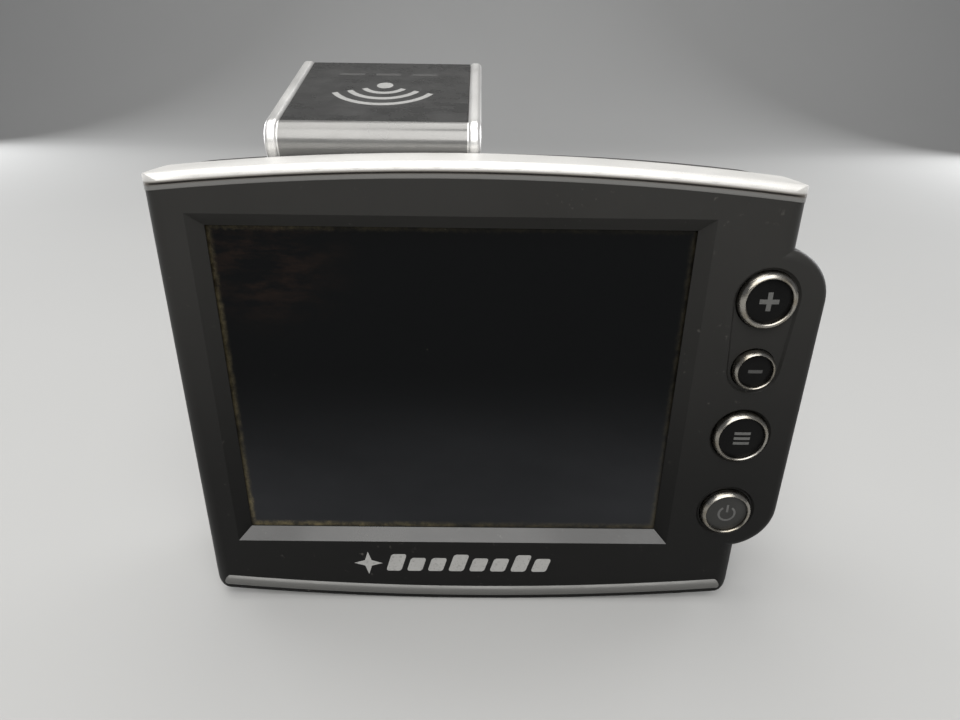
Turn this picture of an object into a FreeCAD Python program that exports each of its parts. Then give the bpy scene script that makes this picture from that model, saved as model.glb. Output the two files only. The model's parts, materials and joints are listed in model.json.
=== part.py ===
import FreeCAD, Part
import math
import os

# Portable GPS navigator with a flip-up patch antenna.
#
# Drawn in millimetres with +X to the user's right, +Y to the back and +Z up. Here y = 0 is the flat front
# face, x = 0 the middle of the body and z = 0 the flat land underneath. Every node is moved by -REST_Y along
# Y when it is exported, so that the origin is the middle of that land.

V = FreeCAD.Vector
X_AXIS = V(1, 0, 0)
Y_AXIS = V(0, 1, 0)

# ---- body shell
BODY_W = 93.6
BODY_D = 24.8
BOTTOM_Z = 0.35          # lowest point of the arched bottom edge
BOTTOM_R = 460.0
TOP_Z = 76.4             # highest point of the rear housing's arched top
TOP_R = 430.0
ARCH_X = -2.5            # the arched top peaks slightly left of the middle
BEZEL_TOP_Z = 75.15      # where the bezel ends and the top trim starts
FRONT_EDGE_R = 3.0
BACK_EDGE_R = 5.0
BACK_TOP_R = 6.0
BACK_BOTTOM_R = 4.0
LOWER_CORNER_R = 3.0
SPLIT_Y = 7.5            # plane where bezel and rear housing meet
WALL = 1.8
CAVITY_TOP_Z = 73.4
REST_Y = 15.0
LAND = (-22.0, 22.0, 8.0, 22.0)     # x0, x1, y0, y1 of the flat land

# ---- side lobe that carries the buttons
LOBE_RIGHT = 52.4
LOBE_LEFT = 30.0
LOBE_Z = (12.1, 65.9)
LOBE_R = 8.2
LOBE_D = 13.0
LOBE_EDGE_R = 1.5

# ---- screen
SCREEN_X = -3.5
SCREEN_Z = 41.5
BEVEL_OUT = (75.0, 57.0)
BEVEL_IN = (71.0, 53.1)
BEVEL_DEPTH = 1.6
PANEL = (-41.95, 34.95, 9.0, 70.7)      # touch panel and gasket, x0, x1, z0, z1
MODULE = (-41.95, 34.95, 6.8, 70.7)     # display module
GASKET_Y = (WALL, 2.2)
TOUCH_Y = (2.2, 3.3)
GLASS_Y = (3.3, 4.6)
LIGHT_Y = (4.6, 6.0)
TRAY_BACK_Y = 6.4
TRAY_WALL = 0.5

# ---- trims
TRIM_DEPTH = 11.2        # the top trim reaches this far back
TRIM_LIP_Z = 75.85       # top of the thin strip under the shadow groove
TRIM_GROOVE = (0.3, 0.5)
TRIM_TOP_Z = 77.5
TRIM_PROUD = 0.2
TRIM_END_R = 1.5
BEAD_Z = (1.0, 3.1)
BEAD_HALF = 44.5
BEAD_PROUD = 0.5
BEAD_INSET = 1.2
BEAD_END_R = 1.15

# ---- buttons: name, height, ring radius, cap radius
BUTTON_X = 43.2
BUTTONS = (
    ("plus", 58.2, 4.45, 3.45),
    ("minus", 46.9, 3.3, 2.7),
    ("menu", 35.0, 4.45, 3.7),
    ("power", 20.2, 4.25, 3.5),
)
BUTTON_CREST = -1.05     # the ring's highest point stands this far out of the face
BUTTON_CLEAR = 0.15
FLANGE_Y = (2.1, 2.8)
FLANGE_LAP = 0.7
STEM_R = 1.6
STEM_END_Y = 4.2
DISH_R = 4.95
DISH_DEPTH = 0.35
DISH_SLOPE = 0.35
PILL_R = (5.0, 4.2)      # dished surround of the plus and minus keys
KEYPAD = (37.4, 49.4, 15.0, 63.0)
KEYPAD_Y = (5.5, 6.5)
DOME_R = 2.5
DOME_H = 0.6
KEYPAD_POSTS = ((38.8, 41.3), (43.2, 27.5))

# ---- antenna flap: u runs from the hinge to the free end, w out of the marked face
HINGE_Y = 15.4
HINGE_Z = 73.55
OPEN_ANGLE = 17.2        # rise of the open flap above horizontal
FLAP_X = (-32.3, 0.6)
FLAP_U = (-2.35, 29.95)
FLAP_W = (0.6, 8.25)
RAIL = 2.1
RAIL_ROUND = 0.75
RAIL_PROUD = 0.25        # the rails stand this far out of the cover and the near wall
FLAP_WALL = 1.8
FLAP_NEAR_R = 3.4
FLAP_TIP_R = 1.2
EAR_R = 2.2
COVER_W = (6.6, 8.0)
BASE_W = (0.6, 2.0)
FAR_WALL = 1.3
PIN_R = 1.0
PIN_CLEAR = 0.05
PIN_BORE_R = 0.6
PIN_SOCKET = 2.2
LEAD_R = 0.4
PATCH = 20.0
PATCH_H = 2.5
PATCH_MID = (-15.85, 13.6)
FLAP_BOARD = (-26.3, -5.4, 3.2, 24.2)
FLAP_BOARD_W = (2.9, 3.5)
FLAP_SCREWS = tuple((x, u) for x in (-28.2, -3.5) for u in (5.0, 26.4))

# ---- recess that takes the closed flap
RECESS_X = (-32.7, 1.0)
RECESS_FLOOR_Y = 15.5
RECESS_FRONT_Y = TRIM_DEPTH
RECESS_BOTTOM_Z = HINGE_Z - FLAP_U[1] - 0.4
TROUGH_R = 2.8
RECESS_WALL = 1.2
SCOOP_X = (-21.5, -9.9)  # finger scoop below the recess, cut by a rod that lies outside the back face
SCOOP_OUT = 5.0
SCOOP_R = 6.0

# ---- two slots low on the back that take a cradle's hooks
CRADLE_X = (-14.0, 14.0)
CRADLE_W = 10.0
CRADLE_Z = (11.0, 13.5)
CRADLE_DEEP = 1.2

# ---- electronics
BOARD = (-43.4, 34.0, 7.5, 69.0)
BOARD_Y = (9.0, 10.2)
CARD_Z = (15.8, 39.8)
CARD_LENGTH = 32.0
CARD_LEFT = -47.8
CARD_Y = (12.0, 14.1)
CARD_GAP = 0.3
USB_Z = (54.75, 62.45)
USB_Y = (10.2, 14.1)
JACK = (12.9, 50.6)      # y, z of the earphone jack
JACK_R = 1.8
JACK_END_X = -36.0
COAX = (12.0, 44.6)      # y, z of the external aerial socket
BATTERY = (-32.0, 20.0, 16.2, 21.8, 8.0, 41.0)
SPEAKER = (22.0, 54.0)
SPEAKER_R = 10.0
GRILLE_RINGS = ((0.0, 1), (3.0, 6), (6.0, 12))
GRILLE_HOLE_R = 0.8

# ---- fasteners: x, z
CASE_SCREWS = ((-43.8, 12.0, 1.7), (-43.8, 66.0, 1.7), (41.5, 5.9, 2.2), (41.0, 69.7, 2.2))
CASE_SEAT_Y = 11.5
CASE_TIP_Y = 3.2
BOARD_SCREWS = ((31.5, 66.5), (31.5, 10.5), (-38.0, 10.2), (-38.0, 66.8))
BOARD_POST_R = 2.0


# ------------------------------------------------------------------ plain shapes
def box(x0, x1, y0, y1, z0, z1):
    return Part.makeBox(x1 - x0, y1 - y0, z1 - z0, V(x0, y0, z0))


def rod_x(y, z, radius, x0, x1):
    return Part.makeCylinder(radius, x1 - x0, V(x0, y, z), X_AXIS)


def rod_y(x, z, radius, y0, y1):
    return Part.makeCylinder(radius, y1 - y0, V(x, y0, z), Y_AXIS)


def rod_z(x, y, radius, z0, z1):
    return Part.makeCylinder(radius, z1 - z0, V(x, y, z0))


def joined(shapes):
    first, *rest = shapes
    return first.fuse(rest).removeSplitter() if rest else first


def less(shape, cutters):
    return shape.cut(list(cutters))


def group(shapes):
    return Part.makeCompound(list(shapes))


def line(a, b):
    return Part.LineSegment(a, b).toShape()


def arc(a, middle, b):
    return Part.Arc(a, middle, b).toShape()


def prism(edges, direction):
    return Part.Face(Part.Wire(edges)).extrude(direction)


def rounded_rect_xz(x0, x1, z0, z1, radius, y0, y1):
    """A block along Y with its four long edges rounded."""
    block = box(x0, x1, y0, y1, z0, z1)
    long_edges = [e for e in block.Edges if abs(e.tangentAt(e.FirstParameter).y) > 0.99]
    return block.makeFillet(radius, long_edges)


def wire_tube(points, radius, bend):
    """A round lead along straight runs joined by tangent arcs."""
    points = [V(*p) for p in points]
    edges = []
    start = points[0]
    for before, corner, after in zip(points, points[1:], points[2:]):
        into = (corner - before).normalize()
        out = (after - corner).normalize()
        half_turn = into.getAngle(out) / 2
        reach = bend * math.tan(half_turn)
        tangent_in = corner - into * reach
        tangent_out = corner + out * reach
        inward = (out - into).normalize()
        middle = corner + inward * bend * (1 / math.cos(half_turn) - 1)
        edges += [line(start, tangent_in), arc(tangent_in, middle, tangent_out)]
        start = tangent_out
    edges.append(line(start, points[-1]))
    path = Part.Wire(edges)
    section = Part.Wire(Part.makeCircle(radius, points[0], points[1] - points[0]))
    return path.makePipeShell([section], True, True)


def screw(x, z, head_y, tip_y, head_r, shank_r):
    """A screw along Y: a pan head with a cross recess, then its shank."""
    towards = 1 if head_y > tip_y else -1
    head_h = head_r * 0.65
    seat, top = sorted((head_y, head_y + towards * head_h))
    head = rod_y(x, z, head_r, seat, top)
    shank = rod_y(x, z, shank_r, *sorted((head_y, tip_y)))
    slot = head_r * 0.16
    reach = head_r * 0.62
    y0, y1 = sorted((head_y + towards * head_h * 0.45, head_y + towards * head_h * 1.2))
    cross = [
        box(x - reach, x + reach, y0, y1, z - slot, z + slot),
        box(x - slot, x + slot, y0, y1, z - reach, z + reach),
    ]
    return less(joined([head, shank]), cross)


# ------------------------------------------------------------------ body envelope
def bottom_arch(x, inset):
    radius = BOTTOM_R - inset
    return BOTTOM_Z + BOTTOM_R - math.sqrt(radius ** 2 - x ** 2)


def top_arch(x, height):
    radius = TOP_R + height - BEZEL_TOP_Z
    return height - radius + math.sqrt(radius ** 2 - (x - ARCH_X) ** 2)


def front_outline(inset, height, y0, y1):
    """The arched front view of the body, drawn in by inset and run from y0 to y1."""
    half = BODY_W / 2 - inset
    low = bottom_arch(half, inset)
    left, right = top_arch(-half, height), top_arch(half, height)
    edges = [
        arc(V(-half, y0, low), V(0, y0, BOTTOM_Z + inset), V(half, y0, low)),
        line(V(half, y0, low), V(half, y0, right)),
        arc(V(half, y0, right), V(ARCH_X, y0, height), V(-half, y0, left)),
        line(V(-half, y0, left), V(-half, y0, low)),
    ]
    block = prism(edges, V(0, y1 - y0, 0))
    corners = [
        e for e in block.Edges
        if abs(e.tangentAt(e.FirstParameter).y) > 0.99 and e.CenterOfMass.z < SCREEN_Z
    ]
    return block.makeFillet(LOWER_CORNER_R - inset * 0.8, corners)


def upright_edges(shape, at_y):
    """Vertical edges of a shape at the given depth."""
    return [
        e for e in shape.Edges
        if abs(e.tangentAt(e.FirstParameter).z) > 0.99 and abs(e.CenterOfMass.y - at_y) < 1e-6
    ]


def plan_outline(inset, y0, y1):
    """The body seen from above, with rounded front and back edges."""
    half = BODY_W / 2 - inset
    block = box(-half, half, y0, y1, -1, 80)
    block = block.makeFillet(FRONT_EDGE_R - inset, upright_edges(block, y0))
    return block.makeFillet(BACK_EDGE_R - inset, upright_edges(block, y1))


def side_outline(inset):
    """The body seen from the side, rounded along the back's top and bottom."""
    block = box(-60, 60, -1, BODY_D - inset, BOTTOM_Z + inset, TOP_Z - inset)
    for radius, height in ((BACK_TOP_R, TOP_Z - inset), (BACK_BOTTOM_R, BOTTOM_Z + inset)):
        edge = [
            e for e in block.Edges
            if e.Length > 100 and abs(e.CenterOfMass.z - height) < 1e-6
            and abs(e.CenterOfMass.y - BODY_D + inset) < 1e-6
        ]
        block = block.makeFillet(radius - inset, edge)
    return block


def lobe(inset, y0, y1):
    """The rounded block on the right-hand side; its front edge is softened when it has no inset."""
    block = rounded_rect_xz(
        LOBE_LEFT, LOBE_RIGHT - inset, LOBE_Z[0] + inset, LOBE_Z[1] - inset, LOBE_R - inset, y0, y1
    )
    if inset:
        return block
    ends = [e for e in block.Edges if abs(e.CenterOfMass.y - y0) < 1e-6
            or abs(e.CenterOfMass.y - y1) < 1e-6]
    return block.makeFillet(LOBE_EDGE_R, ends)


def envelope():
    body = front_outline(0, TOP_Z, 0, BODY_D)
    body = body.common(plan_outline(0, 0, BODY_D)).common(side_outline(0))
    trim_space = top_sweep(box_profile(-2, TRIM_DEPTH, BEZEL_TOP_Z, TOP_Z + 4))
    return joined([body, lobe(0, 0, LOBE_D)]).cut(trim_space)


def box_profile(y0, y1, z0, z1):
    corners = [V(0, y0, z0), V(0, y1, z0), V(0, y1, z1), V(0, y0, z1)]
    return Part.Face(Part.makePolygon(corners + corners[:1]))


def swept_arch(face, centre, degrees):
    """Turn a profile in the YZ plane about an axis along Y, evenly to both sides."""
    start = face.copy()
    start.translate(V(centre.x, 0, 0))
    start.rotate(centre, Y_AXIS, -degrees)
    return start.revolve(centre, Y_AXIS, 2 * degrees)


def top_sweep(face):
    return swept_arch(face, V(ARCH_X, 0, BEZEL_TOP_Z - TOP_R), 8.0)


# ------------------------------------------------------------------ front of the body
def frustum(outer, inner, y0, y1):
    """A rectangular funnel centred on the screen."""
    wires = []
    for (width, height), y in ((outer, y0), (inner, y1)):
        x0, x1 = SCREEN_X - width / 2, SCREEN_X + width / 2
        z0, z1 = SCREEN_Z - height / 2, SCREEN_Z + height / 2
        wires.append(Part.makePolygon([V(x0, y, z0), V(x1, y, z0), V(x1, y, z1), V(x0, y, z1), V(x0, y, z0)]))
    return Part.makeLoft(wires, True, True)


def dish(x, z, radius):
    return Part.makeCone(radius, radius - DISH_SLOPE, DISH_DEPTH, V(x, 0, z), Y_AXIS)


def pill_wire(shrink, y):
    """Outline round two keys of different size: two arcs joined by their common tangents."""
    upper, lower = BUTTONS[0], BUTTONS[1]
    r1, r2 = PILL_R[0] - shrink, PILL_R[1] - shrink
    lean = math.asin((r1 - r2) / (upper[1] - lower[1]))
    side1 = V(r1 * math.cos(lean), 0, r1 * -math.sin(lean))
    side2 = V(r2 * math.cos(lean), 0, r2 * -math.sin(lean))
    c1, c2 = V(BUTTON_X, y, upper[1]), V(BUTTON_X, y, lower[1])
    left1, left2 = V(-side1.x, 0, side1.z), V(-side2.x, 0, side2.z)
    return Part.Wire([
        line(c2 + side2, c1 + side1),
        arc(c1 + side1, c1 + V(0, 0, r1), c1 + left1),
        line(c1 + left1, c2 + left2),
        arc(c2 + left2, c2 - V(0, 0, r2), c2 + side2),
    ])


def bead_profile():
    """D-shaped section of the lower trim bead, proud of the face and let into it."""
    z0, z1 = BEAD_Z
    return Part.Face(Part.Wire([
        line(V(0, BEAD_INSET, z1), V(0, 0, z1)),
        arc(V(0, 0, z1), V(0, -BEAD_PROUD, (z0 + z1) / 2), V(0, 0, z0)),
        line(V(0, 0, z0), V(0, BEAD_INSET, z0)),
        line(V(0, BEAD_INSET, z0), V(0, BEAD_INSET, z1)),
    ]))


def bead_sweep():
    """The bead along the bottom arch, with half-round ends."""
    centre_z = BOTTOM_Z + BOTTOM_R
    swept = swept_arch(bead_profile(), V(0, 0, centre_z), 8.0)
    end_x = BEAD_HALF - BEAD_END_R
    end_z = centre_z - math.sqrt((centre_z - sum(BEAD_Z) / 2) ** 2 - end_x ** 2)
    keep = [rod_y(x, end_z, BEAD_END_R, -5, 5) for x in (-end_x, end_x)]
    return swept.common(joined([box(-end_x, end_x, -5, 5, -5, 12)] + keep))


def front_bezel():
    shell = envelope().common(box(-60, 60, -1, SPLIT_Y, -5, 90))
    hollow = joined([
        front_outline(WALL, CAVITY_TOP_Z, WALL, SPLIT_Y + 1),
        lobe(WALL, WALL, SPLIT_Y + 1),
    ])
    shell = shell.cut(hollow)
    posts = [rod_y(x, z, r, WALL, SPLIT_Y) for x, z, r in CASE_SCREWS]
    posts += [rod_y(x, z, 1.5, WALL, KEYPAD_Y[0]) for x, z in KEYPAD_POSTS]
    shell = joined([shell] + posts)
    cuts = [frustum(BEVEL_OUT, BEVEL_IN, 0, BEVEL_DEPTH), frustum(BEVEL_IN, BEVEL_IN, BEVEL_DEPTH, WALL + 1)]
    cuts += [rod_y(BUTTON_X, z, ring + BUTTON_CLEAR, -1, WALL + 0.5) for _, z, ring, _ in BUTTONS]
    cuts += [dish(BUTTON_X, z, DISH_R) for name, z, _, _ in BUTTONS if name in ("menu", "power")]
    cuts.append(Part.makeLoft([pill_wire(0, 0), pill_wire(DISH_SLOPE, DISH_DEPTH)], True, True))
    cuts += [rod_y(x, z, 0.8, CASE_TIP_Y, SPLIT_Y + 1) for x, z, _ in CASE_SCREWS]
    cuts += [rod_y(x, z, 0.6, 3.0, KEYPAD_Y[0] + 1) for x, z in KEYPAD_POSTS]
    cuts.append(bead_sweep())
    return less(shell, cuts)


def top_trim():
    groove_h, groove_d = TRIM_GROOVE
    nose = TRIM_LIP_Z + groove_h
    front = -TRIM_PROUD
    crown = 1.1
    bulge = 0.1
    drop = 0.8
    rear = TRIM_DEPTH - drop
    round_off = crown * (1 - math.sqrt(0.5))
    edges = [
        line(V(0, TRIM_DEPTH, BEZEL_TOP_Z), V(0, 0.1, BEZEL_TOP_Z)),
        line(V(0, 0.1, BEZEL_TOP_Z), V(0, 0, TRIM_LIP_Z)),
        line(V(0, 0, TRIM_LIP_Z), V(0, groove_d, TRIM_LIP_Z)),
        line(V(0, groove_d, TRIM_LIP_Z), V(0, groove_d, nose)),
        line(V(0, groove_d, nose), V(0, front, nose)),
        line(V(0, front, nose), V(0, front, TRIM_TOP_Z - crown)),
        arc(V(0, front, TRIM_TOP_Z - crown), V(0, front + round_off, TRIM_TOP_Z - round_off),
            V(0, front + crown, TRIM_TOP_Z)),
        arc(V(0, front + crown, TRIM_TOP_Z), V(0, rear / 2, TRIM_TOP_Z + bulge),
            V(0, rear, TRIM_TOP_Z - bulge)),
        line(V(0, rear, TRIM_TOP_Z - bulge), V(0, TRIM_DEPTH, TRIM_TOP_Z - drop)),
        line(V(0, TRIM_DEPTH, TRIM_TOP_Z - drop), V(0, TRIM_DEPTH, BEZEL_TOP_Z)),
    ]
    bar = top_sweep(Part.Face(Part.Wire(edges)))
    half = BODY_W / 2
    plan = box(-half, half, front, BODY_D, 60, 80)
    plan = plan.makeFillet(FRONT_EDGE_R, upright_edges(plan, front))
    clear_of_bulge = 0.02
    outline = front_outline(0, TRIM_TOP_Z + bulge + clear_of_bulge, front, BODY_D)
    ends = [
        e for e in outline.Edges
        if abs(e.tangentAt(e.FirstParameter).y) > 0.99 and e.CenterOfMass.z > SCREEN_Z
    ]
    return bar.common(plan).common(outline.makeFillet(TRIM_END_R, ends))


def bottom_trim():
    return bead_sweep()


def window_gasket():
    x0, x1, z0, z1 = PANEL
    ring = box(x0, x1, *GASKET_Y, z0, z1)
    opening = (BEVEL_IN[0] + 1, BEVEL_IN[1] + 1)
    return ring.cut(frustum(opening, opening, 0, 5))


def touch_panel():
    x0, x1, z0, z1 = PANEL
    return box(x0, x1, *TOUCH_Y, z0, z1)


def lcd_panel():
    x0, x1, z0, z1 = MODULE
    return box(x0 + TRAY_WALL, x1 - TRAY_WALL, *GLASS_Y, z0 + TRAY_WALL, z1 - TRAY_WALL)


def backlight():
    x0, x1, z0, z1 = MODULE
    return box(x0 + TRAY_WALL, x1 - TRAY_WALL, *LIGHT_Y, z0 + TRAY_WALL, z1 - TRAY_WALL)


def lcd_frame():
    x0, x1, z0, z1 = MODULE
    tray = box(x0, x1, GLASS_Y[0], TRAY_BACK_Y, z0, z1)
    inside = box(x0 + TRAY_WALL, x1 - TRAY_WALL, 0, LIGHT_Y[1], z0 + TRAY_WALL, z1 - TRAY_WALL)
    return tray.cut(inside)


def lcd_flex():
    """Ribbon from the display's back to the front of the main board."""
    x0, x1 = -14.0, 6.0
    thick = 0.3
    front, back = TRAY_BACK_Y, BOARD_Y[0]
    return joined([
        box(x0, x1, front, front + thick, 12, 24),
        box(x0, x1, front, back, 12 - thick, 12),
        box(x0, x1, back - thick, back, 12 - thick, 20),
    ])


# ------------------------------------------------------------------ buttons
def turned(points, z):
    """Spin a (radius, y) outline about the axis of a button; a triple is an arc's middle and end."""
    def place(radius, y):
        return V(BUTTON_X + radius, y, z)
    edges = []
    here = place(*points[0])
    for point in points[1:] + points[:1]:
        end = place(*point[-2:])
        edges.append(arc(here, place(*point[:2]), end) if len(point) == 4 else line(here, end))
        here = end
    face = Part.Face(Part.Wire(edges))
    return face.revolve(V(BUTTON_X, 0, z), Y_AXIS, 360)


def button_ring(z, ring_r, cap_r):
    width = ring_r - cap_r
    crest = cap_r + width * 0.28
    return turned([
        (cap_r, FLANGE_Y[0]),
        (cap_r, -0.6),
        (cap_r + width * 0.07, BUTTON_CREST + 0.1, crest, BUTTON_CREST),
        (cap_r + width * 0.82, BUTTON_CREST * 0.62, ring_r, -0.1),
        (ring_r, FLANGE_Y[0]),
    ], z)


def button_cap(z, ring_r, cap_r):
    flange_r = ring_r + FLANGE_LAP
    return turned([
        (0, STEM_END_Y),
        (0, -0.72),
        (cap_r * 0.55, -0.64, cap_r, -0.42),
        (cap_r, FLANGE_Y[0]),
        (flange_r, FLANGE_Y[0]),
        (flange_r, FLANGE_Y[1]),
        (STEM_R, FLANGE_Y[1]),
        (STEM_R, STEM_END_Y),
    ], z)


def keypad_board():
    x0, x1, z0, z1 = KEYPAD
    board = rounded_rect_xz(x0, x1, z0, z1, 5.0, *KEYPAD_Y)
    return less(board, [rod_y(x, z, 0.7, 5, 7) for x, z in KEYPAD_POSTS])


def dome_switches():
    """Flat steel domes under the keys."""
    y0 = KEYPAD_Y[0] - DOME_H
    return group(
        Part.makeCone(DOME_R * 0.6, DOME_R, DOME_H, V(BUTTON_X, y0, z), Y_AXIS) for _, z, _, _ in BUTTONS
    )


def keypad_screws():
    return group(screw(x, z, KEYPAD_Y[1], 3.2, 1.2, 0.6) for x, z in KEYPAD_POSTS)


def keypad_flex():
    """Ribbon from the keypad board to the main board's right-hand edge."""
    thick = 0.3
    y0, y1 = KEYPAD_Y[1], BOARD_Y[0]
    return joined([
        box(36.2, 41.0, y0, y0 + thick, 48, 54),
        box(35.9, 36.2, y0, y1, 48, 54),
        box(30.0, 36.2, y1 - thick, y1, 48, 54),
    ])


# ------------------------------------------------------------------ rear housing
def recess():
    """Pocket for the closed flap, with a trough round the hinge axis."""
    x0, x1 = RECESS_X
    return joined([
        box(x0, x1, RECESS_FLOOR_Y, BODY_D + 2, RECESS_BOTTOM_Z, 90),
        box(x0, x1, RECESS_FRONT_Y, RECESS_FLOOR_Y + 2, HINGE_Z, 90),
        rod_x(HINGE_Y, HINGE_Z, TROUGH_R, x0, x1),
    ])


def recess_walls():
    x0, x1 = RECESS_X[0] - PIN_SOCKET, RECESS_X[1] + PIN_SOCKET
    return joined([
        box(x0, x1, RECESS_FLOOR_Y - RECESS_WALL, BODY_D + 2, RECESS_BOTTOM_Z - RECESS_WALL, 90),
        rod_x(HINGE_Y, HINGE_Z, TROUGH_R + RECESS_WALL, x0, x1),
    ])


def cavity():
    body = front_outline(WALL, CAVITY_TOP_Z, SPLIT_Y - 1, BODY_D)
    body = body.common(plan_outline(WALL, -5, BODY_D - WALL)).common(side_outline(WALL))
    room = joined([body, lobe(WALL, SPLIT_Y - 1, LOBE_D - 1.6)])
    lead_pocket = box(RECESS_X[1] + PIN_SOCKET, 6.2, HINGE_Y - 1.6, HINGE_Y + 1.6, 70, HINGE_Z + 1.7)
    return room.cut(recess_walls()).fuse(lead_pocket)


def left_ports():
    """Holes in the left-hand wall for the card, the USB socket, the jack and the aerial socket."""
    out, inside = -BODY_W / 2 - 1, -BODY_W / 2 + WALL + 1
    gap = 0.15
    return [
        box(out, inside, CARD_Y[0] - CARD_GAP, CARD_Y[1] + CARD_GAP,
            CARD_Z[0] - CARD_GAP, CARD_Z[1] + CARD_GAP),
        box(out, inside, USB_Y[0] - gap, USB_Y[1] + gap, USB_Z[0] - gap, USB_Z[1] + gap),
        rod_x(*JACK, 2.6 + gap, out, inside),
        rod_x(*COAX, 1.7 + gap, out, inside),
    ]


def grille_holes():
    x, z = SPEAKER
    holes = []
    for radius, count in GRILLE_RINGS:
        for i in range(count):
            turn = 2 * math.pi * i / count
            place = (x + radius * math.cos(turn), z + radius * math.sin(turn))
            holes.append(rod_y(*place, GRILLE_HOLE_R, BODY_D - WALL - 1, BODY_D + 1))
    return holes


def rear_housing():
    shell = envelope().common(box(-60, 60, SPLIT_Y, BODY_D + 1, -5, 90))
    shell = shell.cut(cavity())
    x0, x1, y0, y1 = LAND
    extras = [box(x0, x1, y0, y1, 0, BOTTOM_Z + 1.0)]
    extras += [rod_y(x, z, r, SPLIT_Y, CASE_SEAT_Y + 1.5) for x, z, r in CASE_SCREWS]
    extras += [rod_y(x, z, BOARD_POST_R, BOARD_Y[1], BODY_D - WALL) for x, z in BOARD_SCREWS]
    shell = joined([shell] + extras)
    x, z = SPEAKER
    collar = rod_y(x, z, SPEAKER_R + 1.2, BODY_D - WALL - 4.0, BODY_D - WALL)
    collar = collar.cut(rod_y(x, z, SPEAKER_R + 0.1, BODY_D - WALL - 5, BODY_D))
    shell = joined([shell, collar])
    cuts = [recess()] + left_ports() + grille_holes()
    for x, z, _ in CASE_SCREWS:
        cuts += [rod_y(x, z, 0.8, SPLIT_Y - 1, BODY_D), rod_y(x, z, 1.45, CASE_SEAT_Y, BODY_D + 1)]
    cuts += [rod_y(x, z, 0.7, BOARD_Y[1] - 1, BOARD_Y[1] + 5) for x, z in BOARD_SCREWS]
    cuts += [
        rod_x(HINGE_Y, HINGE_Z, PIN_R, RECESS_X[0] - PIN_SOCKET, RECESS_X[0] + 1),
        rod_x(HINGE_Y, HINGE_Z, PIN_R, RECESS_X[1] - 1, RECESS_X[1] + PIN_SOCKET + 0.5),
        rod_x(BODY_D + SCOOP_OUT, RECESS_BOTTOM_Z, SCOOP_R, *SCOOP_X),
    ]
    cuts += [
        box(x - CRADLE_W / 2, x + CRADLE_W / 2, BODY_D - CRADLE_DEEP, BODY_D + 1, *CRADLE_Z) for x in CRADLE_X
    ]
    return less(shell, cuts)


def case_screws():
    return group(screw(x, z, CASE_SEAT_Y, CASE_TIP_Y + 0.3, 1.4, 0.8) for x, z, _ in CASE_SCREWS)


# ------------------------------------------------------------------ electronics in the body
def main_board():
    x0, x1, z0, z1 = BOARD
    board = box(x0, x1, *BOARD_Y, z0, z1)
    notches = [rod_y(x, z, r + 0.4, 8, 11) for x, z, r in CASE_SCREWS]
    holes = [rod_y(x, z, 0.8, 8, 11) for x, z in BOARD_SCREWS]
    upper_left = box(-50, -40.4, 8, 11, 64.0, 80)
    lower_left = box(-50, -40.4, 8, 11, 0, 14.0)
    return less(board, notches + holes + [upper_left, lower_left])


def board_screws():
    return group(screw(x, z, BOARD_Y[0], BOARD_Y[1] + 4, 1.3, 0.7) for x, z in BOARD_SCREWS)


def main_chips():
    """Processor, memory, power and interface chips on the back of the board."""
    back = BOARD_Y[1]
    chips = (
        (0.0, 14.0, 22.0, 36.0, 1.4),
        (16.5, 27.5, 22.0, 35.0, 1.1),
        (-12.0, -3.0, 24.0, 35.0, 1.1),
        (26.0, 33.0, 40.0, 47.0, 0.9),
        (-12.0, -5.0, 12.0, 19.0, 0.9),
        (6.0, 16.0, 11.0, 17.0, 2.2),
    )
    return group(box(x0, x1, back, back + h, z0, z1) for x0, x1, z0, z1, h in chips)


def shield_can():
    """Folded can over the receiver."""
    x0, x1, z0, z1 = -26.0, -4.0, 46.0, 63.0
    y0, y1 = BOARD_Y[1], BOARD_Y[1] + 2.6
    can = box(x0, x1, y0, y1, z0, z1)
    return can.cut(box(x0 + 0.3, x1 - 0.3, y0 - 1, y1 - 0.3, z0 + 0.3, z1 - 0.3))


def receiver_chip():
    back = BOARD_Y[1]
    return box(-19, -11, back, back + 1.2, 51, 59)


def sd_socket():
    y0, top = BOARD_Y[1], 14.7
    x0, x1 = -43.5, -14.8
    z0, z1 = CARD_Z[0] - 1.9, CARD_Z[1] + 1.9
    outer = box(x0, x1, y0, top, z0, z1)
    room = box(x0 - 1, x1 - 0.6, CARD_Y[0] - CARD_GAP, CARD_Y[1] + CARD_GAP, CARD_Z[0] - CARD_GAP,
               CARD_Z[1] + CARD_GAP)
    return outer.cut(room)


def sd_card():
    x0, x1 = CARD_LEFT, CARD_LEFT + CARD_LENGTH
    card = box(x0, x1, *CARD_Y, *CARD_Z)
    corner = [
        e for e in card.Edges
        if abs(e.tangentAt(e.FirstParameter).y) > 0.99 and e.CenterOfMass.x > x1 - 1
        and e.CenterOfMass.z > CARD_Z[1] - 1
    ]
    card = card.makeChamfer(3.8, corner)
    slots = [box(*slot, CARD_Y[0] - 1, CARD_Y[0] + 0.1, z, z + 1.7) for slot, z in card_pads()]
    grip = [box(x0 + 0.5 + i * 0.9, x0 + 0.9 + i * 0.9, CARD_Y[1] - 0.15, CARD_Y[1] + 1, CARD_Z[0] + 7,
                CARD_Z[1] - 7) for i in range(3)]
    return less(card, slots + grip)


def card_pads():
    """Places of the nine contact pads at the card's inner end."""
    inner = CARD_LEFT + CARD_LENGTH
    return [((inner - 5.2, inner - 1.0), CARD_Z[0] + 1.2 + 2.2 * i) for i in range(9)]


def sd_contacts():
    return group(box(*slot, CARD_Y[0], CARD_Y[0] + 0.1, z, z + 1.7) for slot, z in card_pads())


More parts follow.
